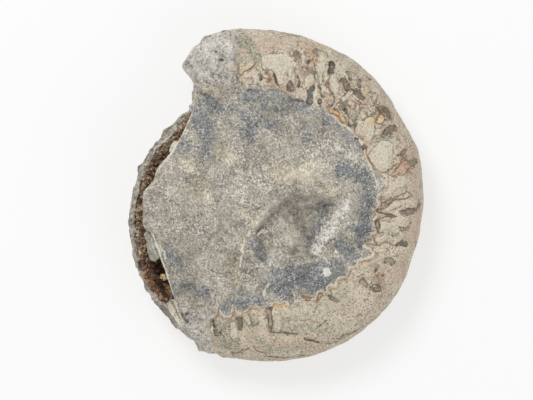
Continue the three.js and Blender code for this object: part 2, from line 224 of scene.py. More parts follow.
ZONES["cream"] = [
    (-27, 20, -22, 18, 5, 1), (-44, 15, -40, 13, 4, 1), (-36, 5, -32, 1, 4.5, 0.9),
    (-18, -8, -8, -12, 4, 0.8), (-18, -20, -16, -30, 3, 0.8), (-31, 52, -29, 50, 3, 1.2),
    (-17, 62, -12, 60, 3, 0.9), (-38, 61, -35, 58, 3, 0.7), (-28, 66, -28, 60, 2.4, 0.9),
    (-10, -42, -20, -46, 4, 0.6), (6, 8, 24, 6, 4, 0.7), (22, 1, 28, 1, 3, 1), (-37, 71, -36, 69, 3, 0.6),
    (-39, 47, -36, 47, 2, 1), (-50, -6, -44, -12, 4, 0.6), (-21, 37, -16, 34, 3, 0.8),
    (-12, 6, 0, 3, 4, 0.6), (-14, -10, -8, -14, 3, 0.9), (2, 67, 8, 63, 3, 0.8), (0, 11, 14, 10, 6, 1.1),
    (-42, 1, -30, 0, 5, 0.8), (-23, -30, -19, -42, 5, 0.9), (-52, -38, -42, -50, 4, 0.7),
    (-34, 51, -28, 49, 3, 1.2), (18, 2, 24, 0, 4, 0.8), (36, 24, 40, 18, 3, 0.6),
    (-54, 4, -50, 0, 3, 0.6), (10, -12, 12, -16, 3, 0.5),
]
# Chalk-white patches; those on the lower right slope of the pit, and two small glints at the crack and at
# the snout, are painted highlight.
ZONES["chalk_and_highlight"] = [
    (28, 24, 37, 18, 2.6, 1.1), (29, 18, 31, 13, 1.6, 0.9), (20, 32, 26, 27, 2.5, 0.5),
    (11, 12.4, 14, 10.8, 1.8, 1.1), (-8, 7, 2, 4, 3.5, 0.7), (22, -21, 30, -9, 4.4, 1.1),
    (27, -17, 34, -5, 4.4, 1), (19, -26, 24, -19, 3.6, 1.1), (19, -8.4, 18, -9, 1, 1.3),
    (48, 3, 51, 7, 3, 0.9), (-16, 5, -13, 3, 3, 0.5), (-5, 62, 6, 57, 4.5, 0.8),
    (28, -27, 28.6, -29, 1.2, 1.2), (-7, 9, -4, 8, 2, 0.5), (-43.2, 62.2, -41.6, 62.6, 0.9, 1.6),
    (-31.2, -62.6, -30.8, -64.4, 0.6, 2), (-22, 61.6, -21, 60, 1.4, 1), (-0.6, -23.6, 2, -28, 1.6, 0.9),
    (24, -31, 25, -33, 0.9, 1), (-9, -18.8, -3, -15.4, 0.9, 1.2), (23.2, -36.2, 23.8, -37, 1.5, 4),
    (-10, 7, -4, 3, 2.6, 0.9), (24, 24, 34, 17, 4, 0.7), (46, 9, 47, 4, 1.6, 1.2),
    (-8, -24, -4, -22, 1.2, 0.8), (38, -8, 36, -14, 2.4, 0.5), (8, -38, 9, -42, 1, 0.9),
]
# The zones on the first three lines paint shade into the pit over the middle of the coil, mostly its upper
# left side; the others are darker patches.
ZONES["dark"] = [
    (-8, -15, -3, -9.6, 2.2, 0.7), (-2, -8.6, 5, -3, 3.4, 0.8), (5, -4, 12, -3.6, 3.6, 0.8),
    (2, -7, 5, -12, 4, 0.6), (12, -5, 20, -6, 4, 0.8), (20, -3.6, 27, -4.8, 2.4, 0.45),
    (15, -14, 19, -9, 3.5, 0.7), (8, -8, 12, -16, 5, 1.1), (0, -10, 4, -22, 5, 0.35),
    (30, -30, 34, -32, 3, 0.4), (20, 12, 24, 8, 4, 0.4), (-24, -2, -18, -20, 6, 0.3),
    (-52, 22, -48, 18, 3, 0.5), (-56, -10, -52, -22, 4, 0.4), (-40, -30, -32, -32, 5, 0.35),
    (-9, -17.6, -6.4, -15.6, 0.9, 1.2), (-9, -21, -7, -23, 1.8, 0.9), (-6, -26, -5, -28, 2.4, 0.7),
    (-9, -29, -6, -31, 1.2, 1), (36, -10, 42, -22, 3, 0.4), (-6.2, 37.4, -6, 37, 0.6, 2.4),
    (-12.4, -31.2, -12, -31.6, 0.8, 1.4), (10, -26, 18, -29, 1.6, 0.8), (-14, 49.6, -8, 49.4, 0.9, 1.2),
    (-4, 49.6, 4, 48.8, 0.6, 0.8), (5.6, 46.4, 12.6, 44.2, 0.7, 1.2), (-46, -46, -44.5, -43.5, 0.9, 0.9),
    (-44, -42.6, -38, -41.6, 0.9, 0.9), (-36, 49, -34.6, 48.4, 1.4, 0.9),
    (-45, -56.5, -42.6, -60.2, 0.7, 1.4), (-42, -56.5, -41.8, -56.8, 0.6, 1.4),
    (-36.4, -64.6, -36.2, -64.9, 0.6, 1.4), (-29, 44, -28.6, 41, 1.2, 1.1),
    (-19.6, 65, -18.4, 58, 1, 0.9), (-45, 61.4, -42.4, 64.4, 0.9, 1.3), (-20, 75, -17.2, 71, 1.6, 1.1),
    (44, 6, 40, 2, 1, 0.9), (39, -12, 38, -18, 2, 0.6), (8, -35, 20, -37, 1.4, 0.6),
    (-30, 68, -26, 66, 1.6, 0.6), (-2, 24, 6, 20, 4, 0.35), (-24, 8, -18, 12, 4, 0.35),
    (-14, 24, -10, 18, 4, 0.35), (-62, -14, -58, -24, 2.6, 0.7), (-50.4, -50.4, -47.6, -55.6, 0.8, 1.2),
    (-56, -53, -50.4, -59.4, 1.6, 1.1),
]
ZONES["pink"] = [
    (-36, -50, -33, -56, 2.2, 0.5), (10, 70, 16, 60, 4, 0.6), (33, 42, 42, 42, 2.6, 0.7),
    (58, 12, 61, 14, 2.4, 0.5), (40, -52, 30, -60, 8, 0.35), (0, -70, 20, -70, 5, 0.4),
    (56, 34, 66, 14, 3, 0.55), (68, 8, 67, -20, 2, 0.5), (50, 46, 60, 34, 3, 0.4),
    (-34, 66, -40, 62, 4, 0.4), (-22, 54, -20, 47, 3, 0.5), (-22, -50, -12, -36, 5, 0.3),
    (60, -34, 46, -54, 3, 0.4),
]
# Mauve patches; the first two lie on the lower right slope of the pit, where they paint a highlight into
# its pale lilac.
ZONES["mauve"] = [
    (33, -4, 26, -14, 4, 1.2), (26, -14, 19, -25, 4.5, 1.2), (4, -12, 9, -21, 3.5, 0.4),
    (-5, -29, 10, -31, 3.5, 0.8), (-18, -44, -8, -40, 4, 0.6), (30, 22, 36, 16, 3, 0.6),
    (-34, -16, -28, -22, 5, 0.5), (-50, 2, -44, -4, 4, 0.5), (-28, -34, -18, -40, 5, 0.5),
    (-34, 26, -28, 34, 4, 0.5), (-22, 2, -12, -2, 4, 0.5), (44, 0, 46, 8, 2.4, 0.6),
    (-40, -46, -38, -50, 2.5, 0.7), (0, 28, 6, 32, 4, 0.4),
]
ZONES["gold"] = [
    (-16.5, 58.8, -12, 61.4, 0.8, 1.2), (-16, 56.6, -14.6, 53.6, 1, 0.8), (26, 40, 29, 38.6, 1.4, 0.9),
    (42.7, 49.8, 43, 49, 0.9, 1.4), (45.4, 36, 45, 34.4, 1.3, 1.5), (42.8, 32, 42.4, 31, 0.7, 1.2),
    (46.2, -12.6, 45.8, -13.2, 0.7, 1.3), (42.2, -24.8, 41.6, -25.2, 0.7, 0.9),
    (-1.4, -53, 4.4, -52.4, 0.9, 1.2), (37, -36, 40, -38, 2, 0.5), (49, 37, 49.6, 36, 1.2, 0.9),
    (47.2, -7.4, 46.8, -7.8, 0.8, 1.2), (-13.4, -68.4, -12.6, -69.8, 1, 0.9),
    (40, 12.6, 39.8, 12.2, 0.7, 1.3), (16, 69, 16.6, 66, 1.2, 0.8), (19, -50.4, 20.6, -48.6, 0.8, 0.8),
    (-3.4, 56.8, -2.6, 55, 1, 0.6),
]
ZONES["olive"] = [
    (-22, 75, -18, 71, 2.4, 1.4), (-16, 75, -10, 66, 4, 1.1), (-26, 76, -30, 73, 4, 1),
    (38, 38, 36, 36, 3, 0.8), (-20, 66, -16, 62, 2.4, 1.1), (-34, 74, -30, 70, 3, 0.5),
    (2, 74, 8, 71, 4, 0.4), (46, 26, 54, 27, 2.4, 0.8), (-22, -64, -20, -72, 4, 1),
    (56, 22, 56, 18, 2.4, 0.6), (24, 46, 27, 45, 2, 0.6), (22, 62, 24, 58, 3, 0.4),
    (-12, -68, -4, -72, 4, 0.7), (-28, -60, -10, -61, 4, 0.8), (56, 4, 62, 6, 3, 0.4),
    (0, -64, 24, -64, 5, 0.7), (-2, -74, 24, -70, 4, 0.6), (-34, -58, -28, -70, 5, 0.7),
    (-27, -64, -24, -72, 3, 1),
]
ZONES["lobed"] = [
    (-12, 57, -3, 54, 3, 0.8), (10, 66, 18, 60, 5, 1), (22, 50, 40, 48, 5, 1), (28, 42, 42, 40, 5, 1),
    (44, 45, 52, 38, 4, 0.9), (52, 31, 56, 26, 3, 0.6), (60, 18, 62, 12, 3, 0.8),
    (50, 0, 52, -20, 4, 0.4), (-20, -58, 0, -62, 5, 0.5), (48, -34, 48, -44, 5, 0.5),
    (-26, 66, -20, 58, 4, 0.6), (-30, 70, -36, 60, 6, 0.5),
]
# The pit over the middle of the coil, and other dips and mounds: ends, radius, height.
HOLLOW = [
    (-5, -12), (-2, -7), (3, -2.5), (8, 0.5), (15, -1), (22, -1.5), (27, -4), (24, -9), (21, -13),
    (19, -20), (18, -27), (12, -30), (4, -31), (-4, -31), (-9, -31), (-10, -24), (-8, -18),
]
MOUNDS = [
    (32, -7, 24, -20, 5, 1.5), (26, 3, 22, 2, 4, 0.8), (-18, -10, -16, -30, 5, 0.6),
    (-22, 20, -20, 19, 6, 0.9), (-44, 14, -36, 12, 6, 0.6), (4, -12, 6, -18, 4, 0.7),
    (0, -26, 4, -29, 3, 0.6), (-22, 61, -21, 60, 2.4, 1.2), (-28, 66, -28, 62, 2.4, 0.9),
    (-36, 66, -34, 58, 4, 0.7), (-31, 52, -29, 50, 4, 0.6), (38, 14, 34, 12, 4, -0.7),
    (-9, -17, -6, -15.4, 1, -1), (-9, -29, -6, -31, 2, -1), (-48, -30, -44, -44, 6, 0.6),
    (-19, 73, -19, 58, 1.6, -1), (-44, 62, -41, 66, 3, -1), (-38, -52, -34, -66, 5, 0.8),
    (-30.6, -60, -28.6, -67, 0.9, -1.6), (-42.6, -57, -41, -61, 1.2, -1.2),
]
# Where the outline of the worn stone leaves the coil's curve: place, reach, and height.
OUTLINE_LUMPS = [
    (-37, -74.4, 1.9, 3), (-33.4, -75.8, 2, 0.9), (-40.6, -71, 1.6, -0.9), (-29, -77, 1.8, -0.7),
    (-26, -78.2, 1.6, 0.5), (-37.6, 73.2, 2.2, -0.8), (-34.6, 75.6, 2, 0.6), (-45.6, 61.6, 2, 0.8),
    (-45, 37.2, 2.5, 0.8), (-56, 26, 4, -0.5), (-71, -12.4, 1.6, 0.6), (-41.8, 45.2, 1.6, -0.9),
    (-41.2, 42.6, 0.9, 0.9),
]

VOXEL = 0.5
MOST_TRIANGLES = 197000
WEAR = 14  # rounds of smoothing for a mesh of 1 mm
NOISE_SEED = 5
FAR_OFF = 20.0  # stands for "not near" in the distance marks
FEW_SIDES = 3  # sides from one point of a curve to the next, where the points are close
RIM = (19, 24)  # levels between which the venter turns into the upper flank
LINE_LEVEL = 20  # no crack or suture line is drawn below this level
BREAK_MIDDLE = -13  # the flank is broken away along y, from here as far as the reach each way
BREAK_REACH = 51
BELOW_CHANNEL = 14  # a level below the channel's floor
SHELL_LEVEL = 31.5  # no white shell much below this level
SHELL_CORNER = -48  # but at the corner beyond this y it goes down to the next level
LOW_SHELL_LEVEL = 23
COIL_CENTRE = (-7, -6)
VENTER_RADIUS = 74
VENTER_HEIGHT = 18  # the widest level of the venter above the underside
SUTURE_SPACING = 9.3
HOLLOW_DEPTH = 5.6
ROCK_STEP = 0.8  # how far the grey rock stands above the whorl
SADDLE_DOME = 0.4
VENTER_GROOVE = 0.35
MOUND_SCALE = 1.5
UNDERSIDE = 0.02  # nothing goes below this height


def triples(values, name):
    flat = np.empty(len(values) * 3)
    values.foreach_get(name, flat)
    return flat.reshape(-1, 3)


def places_of(piece):
    return triples(piece.data.vertices, "co") * 1000


def put_places(piece, places):
    piece.data.vertices.foreach_set("co", (places / 1000).ravel())
    piece.data.update()


def put_mark(piece, name, values):
    """Stores a value for each point, which the material reads by its name."""
    piece.data.attributes.new("m_" + name, "FLOAT", "POINT").data.foreach_set("value", values)


def ease(value, low, high):
    share = np.clip((value - low) / (high - low), 0, 1)
    return share * share * (3 - 2 * share)


def curve_through(points, steps=6):
    """A smooth line through the points, as many short sides."""
    ends = [points[0]] + list(points) + [points[-1]]
    line = []
    for a, b, c, d in zip(ends, ends[1:], ends[2:], ends[3:]):
        for k in range(steps):
            t = k / steps
            line.append([
                0.5 * (2 * q + (r - p) * t + (2 * p - 5 * q + 4 * r - s) * t**2
                       + (3 * q - p - 3 * r + s) * t**3)
                for p, q, r, s in zip(a, b, c, d)
            ])
    return np.array(line + [list(points[-1])])


def bar_distance(x, y, x1, y1, x2, y2, r1, r2):
    """Distance from a rounded bar, below nought inside it."""
    dx, dy = x2 - x1, y2 - y1
    along = np.clip(((x - x1) * dx + (y - y1) * dy) / (dx * dx + dy * dy), 0, 1)
    return np.hypot(x - x1 - along * dx, y - y1 - along * dy) - (r1 + (r2 - r1) * along)


def line_distance(x, y, line):
    least = np.full(len(x), np.inf)
    for (x1, y1), (x2, y2) in zip(line[:-1], line[1:]):
        least = np.minimum(least, bar_distance(x, y, x1, y1, x2, y2, 0, 0))
    return least


def ring_distance(x, y, ring):
    """Distance from a closed line, above nought inside it."""
    inside = np.zeros(len(x), bool)
    least = line_distance(x, y, np.vstack((ring, ring[:1])))
    for (x1, y1), (x2, y2) in zip(ring, np.roll(ring, -1, axis=0)):
        crosses = (y1 > y) != (y2 > y)
        inside ^= crosses & (x < (x2 - x1) * (y - y1) / (y2 - y1 + 1e-12) + x1)
    return np.where(inside, least, -least)


def least_of(distances):
    """The least of the distances at each place, and never more than FAR_OFF."""
    return np.minimum(np.min(list(distances), axis=0), FAR_OFF)


def fading(x, y, x1, y1, x2, y2, radius):
    """One on the line between two points, fading away over the radius."""
    away = np.maximum(bar_distance(x, y, x1, y1, x2, y2, 0, 0), 0)
    return np.exp(-((away / radius) ** 2))


def weight_of(x, y, zones):
    weight = np.zeros(len(x))
    for *bar, strength in zones:
        weight = np.maximum(weight, strength * fading(x, y, *bar))
    return weight


def wander(places, length, seed):
    """A smooth random vector at each place, about -1 to 1, which changes over that length."""
    shift = Vector((seed * 7.3, seed * 3.1, seed * 5.7))
    return 2 * np.array([noise.noise_vector(Vector(p) / length + shift) for p in places])


noise.seed_set(NOISE_SEED)
rock_edge = curve_through(ROCK_EDGE, FEW_SIDES)
broken_edge = curve_through(BROKEN_EDGE)
channel_plan = np.array(CHANNEL)


def marks_at(places, normals):
    """What lies at each place of the stone: distances in millimetres, and weights from 0 to 1."""
    # Every place is moved a little first, so that no edge runs too smoothly.
    bent = places + 0.6 * wander(places, 4.5, 1) + 0.3 * wander(places, 1.7, 2)
    x, y, z = bent.T
    up = ease(normals[:, 2], 0.1, 0.4) * ease(z, *RIM)
    slant = np.clip(normals[:, 2], 0.22, 1)
    marks = {"up": up}
    marks["rock"] = np.where(up > 0, ring_distance(x, y, rock_edge), -FAR_OFF)
    pocket = np.full(len(x), FAR_OFF)
    filling = np.zeros(len(x))
    sunk = np.zeros(len(x))
    for x1, y1, x2, y2, r1, r2, depth, tint in SUTURE_POCKETS:
        away = bar_distance(x, y, x1, y1, x2, y2, r1, r2) / slant
        filling = np.where(away < pocket, tint, filling)
        pocket = np.minimum(pocket, away)
        sunk = np.maximum(sunk, 0.8 * depth * ease(-away, -0.3, 0.6))
    marks["pocket"] = np.where(up > 0, pocket, FAR_OFF)
    marks["filling"] = filling
    saddle = least_of(bar_distance(x, y, *bar) for bar in PALE_SADDLES)
    marks["saddle"] = np.where(up > 0, saddle, FAR_OFF)
    line = np.full(len(x), FAR_OFF)
    line_tint = np.zeros(len(x))
    for width, tint, points in DARK_LINES:
        away = line_distance(x, y, curve_through(points, FEW_SIDES)) / slant - width
        line_tint = np.where(away < line, tint, line_tint)
        line = np.minimum(line, away)
    sunk = np.maximum(sunk, (0.75 - 0.4 * line_tint) * ease(-line, -0.4, 0.3))
    marks["line"] = np.where((z > LINE_LEVEL) & (normals[:, 2] > 0), line, FAR_OFF)
    marks["line_tint"] = line_tint
    marks["pale_line"] = least_of(line_distance(x, y, curve_through(points, 4)) for points in PALE_LINES)
    marks["sunk"] = sunk * up
    for name, zones in ZONES.items():
        marks[name] = weight_of(x, y, zones) * up

    # The broken side: above nought beyond the broken edge of the flank, and below it on the stone.
    plan_x, plan_y, level = places.T
    edge = line_distance(plan_x, plan_y, broken_edge)
    outside = np.interp(plan_y, broken_edge[::-1, 1], broken_edge[::-1, 0])
    ends = BREAK_REACH - np.abs(plan_y - BREAK_MIDDLE) + 2.2 * wander(places, 5, 14)[:, 0]
    marks["break"] = np.where(plan_x < outside, np.minimum(edge, 0.6 * ends), -edge)
    marks["crisp"] = ease(x - 0.6 * y, -8, 12)

    # Rough stone at the snout and the lower left corner, and paler still on the snout's broken face.
    far = 2.4 * wander(places, 8, 9)[:, 0]
    snout = ease(far - x, 14, 24) * ease(y + far, 44, 60)
    corner = 0.75 * ease(far - x, 25, 34) * ease(far - y, 48, 62)
    marks["rough"] = np.maximum(snout, corner) * up * (marks["break"] < 0)
    marks["end"] = 0.6 * ease(far - x, 31, 41) * ease(y + far, 34, 46)

    # White shell, only near the top of the stone, and the channel behind the wall.
    shell_x, shell_y = (places + 0.3 * (bent - places)).T[:2]
    shell = least_of(bar_distance(shell_x, shell_y, *bar) for bar in WHITE_SHELL)
    below = 4 * ease(SHELL_LEVEL - z, 0, 3) * (plan_y > SHELL_CORNER)
    marks["shell"] = shell + below + 4 * ease(LOW_SHELL_LEVEL - z, 0, 2)
    inside = ring_distance(plan_x, plan_y, channel_plan)
    marks["channel"] = np.where(level > BELOW_CHANNEL, inside, -FAR_OFF)

    # The suture lines go on over the venter: folded alike above and below its middle.
    fold = np.abs(z - VENTER_HEIGHT)
    turn = np.arctan2(y - COIL_CENTRE[1], x - COIL_CENTRE[0]) * VENTER_RADIUS - 0.5 * fold
    across = turn - 2.6 * np.cos(fold / 2.3) - 1.1 * np.cos(fold / 0.9 + 1) - 1.4 * np.cos(turn / 3.1)
    steep = 1.1 * np.sin(fold / 2.3) + 1.2 * np.sin(fold / 0.9 + 1)
    fold_line = np.abs(across - SUTURE_SPACING * np.round(across / SUTURE_SPACING)) / np.sqrt(1 + steep**2)
    marks["venter"] = np.where(marks["break"] < -3, fold_line, FAR_OFF) + 6 * ease(z, *RIM)
    marks["venter"] += 2 * marks["rough"] + 6 * marks["end"]
    return marks


bpy.ops.object.select_all(action="DESELECT")
stone = bpy.data.objects.new("stone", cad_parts["ammonite"].data.copy())
bpy.context.collection.objects.link(stone)
stone.select_set(True)
bpy.context.view_layer.objects.active = stone
bpy.ops.object.mode_set(mode="EDIT")
bpy.ops.mesh.select_all(action="SELECT")
bpy.ops.mesh.remove_doubles(threshold=1e-6)
bpy.ops.mesh.normals_make_consistent(inside=False)
bpy.ops.object.mode_set(mode="OBJECT")


def shape_with(kind, **settings):
    """Adds a modifier to the active piece and applies it."""
    bpy.ops.object.modifier_add(type=kind)
    modifier = bpy.context.object.modifiers[-1]
    for name, value in settings.items():
        setattr(modifier, name, value)
    bpy.ops.object.modifier_apply(modifier=modifier.name)


def group_by(piece, name, weights):
    group = piece.vertex_groups.new(name=name)
    for index, weight in enumerate(weights):
        if weight > 0.01:
            group.add([index], float(weight), "REPLACE")


# The wall runs up into the stone at its lower end: a wedge joined to the block before it is meshed.
# Its place and size are in metres.
WEDGE_PLACE = (-0.0487, -0.0565, 0.0232)
WEDGE_TURN = (-0.33, 0, 0.52)
WEDGE_SIZE = (0.0046, 0.0155, 0.006)
bpy.ops.mesh.primitive_cube_add(size=1, location=WEDGE_PLACE, rotation=WEDGE_TURN)
bpy.context.object.scale = WEDGE_SIZE
stone.select_set(True)
bpy.context.view_layer.objects.active = stone
bpy.ops.object.join()
shape_with("REMESH", mode="VOXEL", voxel_size=VOXEL / 1000)

# The coil is worn smooth, and the broken side keeps its edges.
places = places_of(stone)
x, y, z = places.T
near_break = ease(-line_distance(x, y, broken_edge), -14, -9) * ease(-x, 30, 42)
group_by(stone, "worn", 1 - near_break)
shape_with("SMOOTH", factor=0.8, iterations=int(WEAR / VOXEL**2), vertex_group="worn")
shape_with("SMOOTH", factor=0.5, iterations=2)

# Rock, pockets, saddles and cracks stand proud or sink by moving the surface up or down.
places = places_of(stone)
normals = triples(stone.data.vertex_normals, "vector")
marks = marks_at(places, normals)
rock = marks["rock"]
up = marks["up"]
rough = marks["rough"]
x, y, z = places.T
lumps = wander(places, 15, 3)[:, 0] * 0.5 + wander(places, 6, 4)[:, 1] * 0.35
gravel = wander(places, 2.6, 5)[:, 0] * 0.18 + wander(places, 1.3, 6)[:, 1] * 0.10
rise = -marks["sunk"]
rise += up * (0.25 + 0.75 * marks["crisp"]) * ROCK_STEP * (ease(rock, -0.5, 0.5) - 0.5)
rise -= up * marks["crisp"] * 0.35 * np.exp(-(((rock + 0.8) / 0.6) ** 2))
rise += up * SADDLE_DOME * ease(-marks["saddle"], 0, 2.5)
rise -= VENTER_GROOVE * ease(0.9 - marks["venter"], 0, 0.7)
rise += (0.5 + 1.6 * rough + 1.2 * ease(rock, 0, 4)) * lumps
rise += (0.4 + 2.4 * rough + 1.6 * ease(rock, 0, 2) + 1.8 * marks["lobed"]) * gravel
pit = ring_distance(x + 2 * lumps, y - 2 * lumps, np.array(HOLLOW))
rise -= up * HOLLOW_DEPTH * ease(pit, -3.4, 6.5)
rise += up * ease(pit, -2, 4) * (1.1 * wander(places, 6, 17)[:, 0] + 0.5 * wander(places, 2.8, 18)[:, 0])
for *bar, height in MOUNDS:
    rise += MOUND_SCALE * up * height * fading(x, y, *bar)
wall = ease(marks["break"], 0.2, 1.0)
rise += wall * (0.3 * gravel + 0.18 * wander(places, 3.4, 8)[:, 0])
wall_top = 0.5 * wander(places, 5, 15)[:, 0] + 0.3 * wander(places, 2, 16)[:, 0]
rise += wall * ease(normals[:, 2], 0.3, 0.8) * wall_top
moved = places + normals * rise[:, None]
sideways = np.hypot(normals[:, 0], normals[:, 1])
for x1, y1, radius, height in OUTLINE_LUMPS:
    near = np.exp(-(((x - x1) ** 2 + (y - y1) ** 2) / radius**2)) * height * ease(z, 3, 12)
    for axis in (0, 1):
        moved[:, axis] += near * normals[:, axis] / np.maximum(sideways, 0.3)
moved[:, 2] = np.maximum(moved[:, 2], UNDERSIDE)
put_places(stone, moved)

# The triangles go where the surface needs them: the underside needs few.
stone.vertex_groups.clear()
group_by(stone, "under", ease(-moved[:, 2], -9, -6))
shape_with("DECIMATE", decimate_type="COLLAPSE", ratio=0.8, vertex_group="under", vertex_group_factor=10)
many = sum(len(p.vertices) - 2 for p in stone.data.polygons)
shape_with("DECIMATE", decimate_type="COLLAPSE", ratio=min(1, MOST_TRIANGLES / many))
stone.vertex_groups.clear()
bpy.ops.object.shade_smooth()

places = places_of(stone)
marks = marks_at(places, triples(stone.data.vertex_normals, "vector"))
for name, values in marks.items():
    put_mark(stone, name, values)


def paint(red, green, blue):
    """A colour named by its three parts from 0 to 255, as the light it returns."""
    return tuple(((c / 255 + 0.055) / 1.055) ** 2.4 for c in (red, green, blue)) + (1.0,)


class Finish:
    """A material made of layers, each laid on the last where its mask says."""

    def __init__(self, name):
        self.material = bpy.data.materials.new(name)
        self.material.use_nodes = True
        self.nodes = self.material.node_tree.nodes
        self.link = self.material.node_tree.links.new
        self.shader = self.nodes["Principled BSDF"]
        self.place = self.nodes.new("ShaderNodeTexCoord").outputs["Object"]
        self.colour = paint(128, 128, 128)

    def feed(self, socket, value):
        if isinstance(value, bpy.types.NodeSocket):
            self.link(value, socket)
        else:
            socket.default_value = value

    def node(self, kind, **values):
        """A new node, with its inputs fed by name."""
        node = self.nodes.new("ShaderNode" + kind)
        for name, value in values.items():
            self.feed(node.inputs[name.replace("_", " ")], value)
        return node

    def mark(self, name):
        node = self.node("Attribute")
        node.attribute_name = "m_" + name
        return node.outputs["Fac"]

    def grain(self, size, detail, roughness, shift=0.0, twist=0.0):
        """Noise with grains of that size in millimetres."""
        node = self.node("TexNoise")
        node.noise_dimensions = "4D"
        names = ("Vector", "Scale", "W", "Detail", "Roughness", "Distortion")
        for name, value in zip(names, (self.place, 1000 / size, shift, detail, roughness, twist)):
            self.feed(node.inputs[name], value)
        return node.outputs["Fac"]

    def cells(self, size, vector, feature="F1"):
        node = self.node("TexVoronoi", Scale=1000 / size, Vector=vector)
        node.feature = feature
        return node.outputs

    def blend(self, *parts):
        """The sum of grains, each with its weight, about a middle of one half."""
        total = 0.5 * (1 - sum(weight for grain, weight in parts))
        for grain, weight in parts:
            total = self.maths("MULTIPLY_ADD", grain, weight, total)
        return total

    def step(self, value, low, high):
        node = self.node("MapRange", Value=value, From_Min=low, From_Max=high)
        node.interpolation_type = "SMOOTHSTEP"
        return node.outputs["Result"]

    def maths(self, operation, a, b, c=0.0):
        node = self.node("Math")
        node.operation = operation
        for socket, value in zip(node.inputs, (a, b, c)):
            self.feed(socket, value)
        return node.outputs["Value"]

    def times(self, *values):
        product = values[0]
        for value in values[1:]:
            product = self.maths("MULTIPLY", product, value)
        return product

    def mix(self, below, above, mask):
        node = self.node("Mix", Factor=mask)
        node.data_type = "RGBA"
        self.feed(node.inputs[6], below)
        self.feed(node.inputs[7], above)
        return node.outputs[2]

    def lay(self, above, *masks):
        """Lays a colour on what is there, as strongly as the masks say together."""
        if isinstance(above, tuple):
            above = paint(*above)
        self.colour = self.mix(self.colour, above, self.times(*masks))

    def shades(self, value, *stops):
        node = self.node("ValToRGB", Fac=value)
        ramp = node.color_ramp
        while len(ramp.elements) < len(stops):
            ramp.elements.new(0.5)
        for element, (at, colour) in zip(ramp.elements, stops):
            element.position = at
            element.color = paint(*colour)
        return node.outputs["Color"]

    def done(self, roughness, specular, bump_height, bump_depth):
        self.link(self.colour, self.shader.inputs["Base Color"])
        self.shader.inputs["Roughness"].default_value = roughness
        self.shader.inputs["Specular IOR Level"].default_value = specular
        bump = self.node("Bump", Strength=1.0, Distance=bump_depth / 1000, Height=bump_height)
        self.link(bump.outputs["Normal"], self.shader.inputs["Normal"])
        return self.material


lime = Finish("limestone")
grain, step, mark, lay, blend, shades = (
    lime.grain, lime.step, lime.mark, lime.lay, lime.blend, lime.shades,
)
dust = grain(0.8, 1, 0.5, 3.0)
grit = grain(0.9, 1, 0.6, 7.0, 2.2)
fine = grain(1.5, 2, 0.6, 1.0)
flecked = grain(1.7, 3, 0.7, 21.0)
patchy = grain(6, 3, 0.6, 5.0)
blotchy = grain(5, 2, 0.6, 33.0)
broad = grain(17, 3, 0.55, 9.0)
drift = grain(9, 4, 0.62, 44.0, 0.8)
ragged = grain(1.5, 4, 0.7, 12.0)


def frayed(name, amount):
    """A distance mark with its edge made ragged."""
    return lime.maths("ADD", mark(name), lime.maths("MULTIPLY_ADD", ragged, amount, -0.5 * amount))


# The bare whorl: tan limestone, paler where it is polished, with pink and olive patches.
mottle = blend((dust, 1.25), (fine, 0.55), (patchy, 0.4))
lime.colour = shades(
    mottle, (0.18, (112, 99, 82)), (0.36, (168, 155, 135)), (0.5, (196, 184, 164)), (0.64, (214, 204, 185)),
    (0.82, (232, 225, 208)),
)
lay((188, 163, 142), step(broad, 0.48, 0.62), 0.4)
lay((170, 164, 146), step(broad, 0.46, 0.34), 0.35)
lay((186, 150, 128), step(mark("pink"), 0.1, 0.9), step(flecked, 0.4, 0.58), 0.7)
lay((98, 84, 68), step(dust, 0.63, 0.71), 0.6)
lay((126, 108, 90), step(grit, 0.36, 0.26), 0.5)
lay((88, 78, 66), step(flecked, 0.385, 0.33), step(patchy, 0.5, 0.62), 0.6)

# Small folds between the big ones: cells with dark seams.
SMALL_FOLD = 3.4
LONG_HAIR = 7
BEND_LENGTH = 3.0
BEND = 0.008  # how far the cells are bent, in metres
bend_noise = lime.node("TexNoise", Scale=1000 / BEND_LENGTH, Vector=lime.place)
bend = lime.nodes.new("ShaderNodeVectorMath")
bend.operation = "MULTIPLY_ADD"
for socket, value in zip(bend.inputs, (bend_noise.outputs["Color"], (BEND, BEND, BEND), lime.place)):
    lime.feed(socket, value)
bent_place = bend.outputs[0]
seams = lime.cells(SMALL_FOLD, bent_place, "DISTANCE_TO_EDGE")["Distance"]
hairs = lime.cells(LONG_HAIR, bent_place, "DISTANCE_TO_EDGE")["Distance"]
cell_tone = lime.node("SeparateColor", Color=lime.cells(SMALL_FOLD, bent_place)["Color"]).outputs
lobed = step(mark("lobed"), 0.1, 0.7)
lay((108, 93, 76), step(hairs, 0.035, 0.0), step(blotchy, 0.5, 0.6), 0.5)
lay((118, 106, 92), lobed, step(cell_tone["Red"], 0.62, 0.8), 0.75)
lay((208, 200, 180), lobed, step(cell_tone["Green"], 0.6, 0.8), 0.7)
lay((176, 136, 108), lobed, step(cell_tone["Blue"], 0.78, 0.9), 0.6)
lay((92, 76, 62), lobed, step(seams, 0.11, 0.02), step(blotchy, 0.42, 0.56), 0.85)

olive = shades(
    mottle, (0.2, (92, 90, 76)), (0.4, (136, 134, 117)), (0.56, (162, 159, 142)), (0.8, (200, 196, 178)),
)
lay(olive, step(blend((mark("olive"), 1.2), (patchy, 1.2), (flecked, 1.0)), 0.3, 1.0), 0.85)

